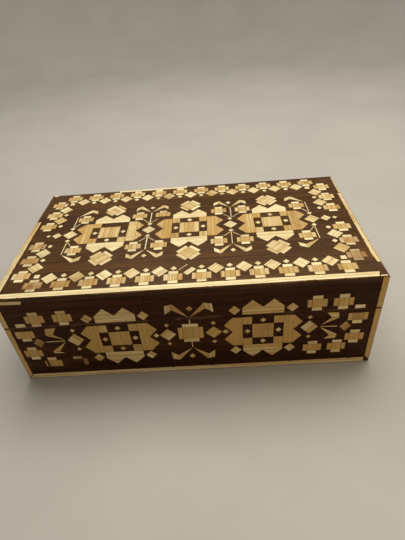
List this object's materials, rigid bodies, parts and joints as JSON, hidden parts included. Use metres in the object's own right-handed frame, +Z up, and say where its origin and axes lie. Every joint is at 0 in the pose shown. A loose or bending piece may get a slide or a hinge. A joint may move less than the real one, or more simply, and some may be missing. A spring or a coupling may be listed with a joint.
{
  "type": "inlaid wooden box",
  "caption": "Rectangular hinged-lid wooden box with applied split-straw geometric inlay on all its faces, for keeping small things.",
  "frame": {"origin": "middle of the underside, on the surface that the box stands on", "axes": "+X to the right along the front, +Y from the front to the hinged back, +Z up"},
  "size_m": [0.2506, 0.1459, 0.0783],
  "materials": {
    "stained_wood": "dark brown stain under glossy lacquer, straight horizontal grain",
    "panel_wood": "bare sanded wood, lightly stained",
    "hinge_brass": "worn rolled brass",
    "pin_steel": "drawn steel wire",
    "screw_steel": "dull plated steel",
    "brad_steel": "dull steel",
    "straw_gold": "split golden straw under glossy lacquer",
    "straw_pale": "split pale straw laid crosswise, under glossy lacquer",
    "straw_edging": "long split golden straw under glossy lacquer"
  },
  "bodies": {
    "base": {"base_back_board": "stained_wood", "base_front_board": "stained_wood", "base_left_board": "stained_wood", "base_right_board": "stained_wood", "base_wall_beads": "straw_pale", "base_wall_cross_bodies": "straw_gold", "base_wall_cross_end_ears": "straw_pale", "base_wall_cross_side_ears": "straw_gold", "base_wall_crowns": "straw_pale", "base_wall_diamonds": "straw_gold", "base_wall_edging": "straw_edging", "base_wall_leaf_blades": "straw_gold", "base_wall_leaf_hooks": "straw_pale", "base_wall_medallion_blocks": "straw_gold", "base_wall_medallion_squares": "straw_gold", "base_wall_stems": "straw_pale", "base_wall_wings": "straw_gold", "bottom_brads": "brad_steel", "bottom_panel": "panel_wood", "hinge_base_screws": "screw_steel", "hinge_left_base_leaf": "hinge_brass", "hinge_left_pin": "pin_steel", "hinge_right_base_leaf": "hinge_brass", "hinge_right_pin": "pin_steel"},
    "lid": {"hinge_left_lid_leaf": "hinge_brass", "hinge_lid_screws": "screw_steel", "hinge_right_lid_leaf": "hinge_brass", "lid_back_rail": "stained_wood", "lid_front_rail": "stained_wood", "lid_left_rail": "stained_wood", "lid_right_rail": "stained_wood", "lid_top_beads": "straw_pale", "lid_top_cross_bodies": "straw_gold", "lid_top_cross_end_ears": "straw_pale", "lid_top_cross_side_ears": "straw_gold", "lid_top_crowns": "straw_pale", "lid_top_diamonds": "straw_gold", "lid_top_edging": "straw_edging", "lid_top_leaf_blades": "straw_gold", "lid_top_leaf_hooks": "straw_pale", "lid_top_medallion_blocks": "straw_gold", "lid_top_medallion_squares": "straw_gold", "lid_top_panel": "stained_wood", "lid_top_stems": "straw_pale", "lid_top_stepped_diamond_bodies": "straw_gold", "lid_top_stepped_diamond_ears": "straw_gold", "lid_top_wings": "straw_gold", "lid_wall_beads": "straw_pale", "lid_wall_cross_bodies": "straw_gold", "lid_wall_cross_end_ears": "straw_pale", "lid_wall_cross_side_ears": "straw_gold", "lid_wall_crowns": "straw_pale", "lid_wall_diamonds": "straw_gold", "lid_wall_edging": "straw_edging", "lid_wall_leaf_blades": "straw_gold", "lid_wall_leaf_hooks": "straw_pale"}
  },
  "joints": [
    {"name": "lid_hinge", "type": "hinge", "parent": "base", "child": "lid", "pos_m": [0, 0.0731, 0.05235], "axis": [-1, 0, 0], "range_deg": [0, 180]}
  ]
}
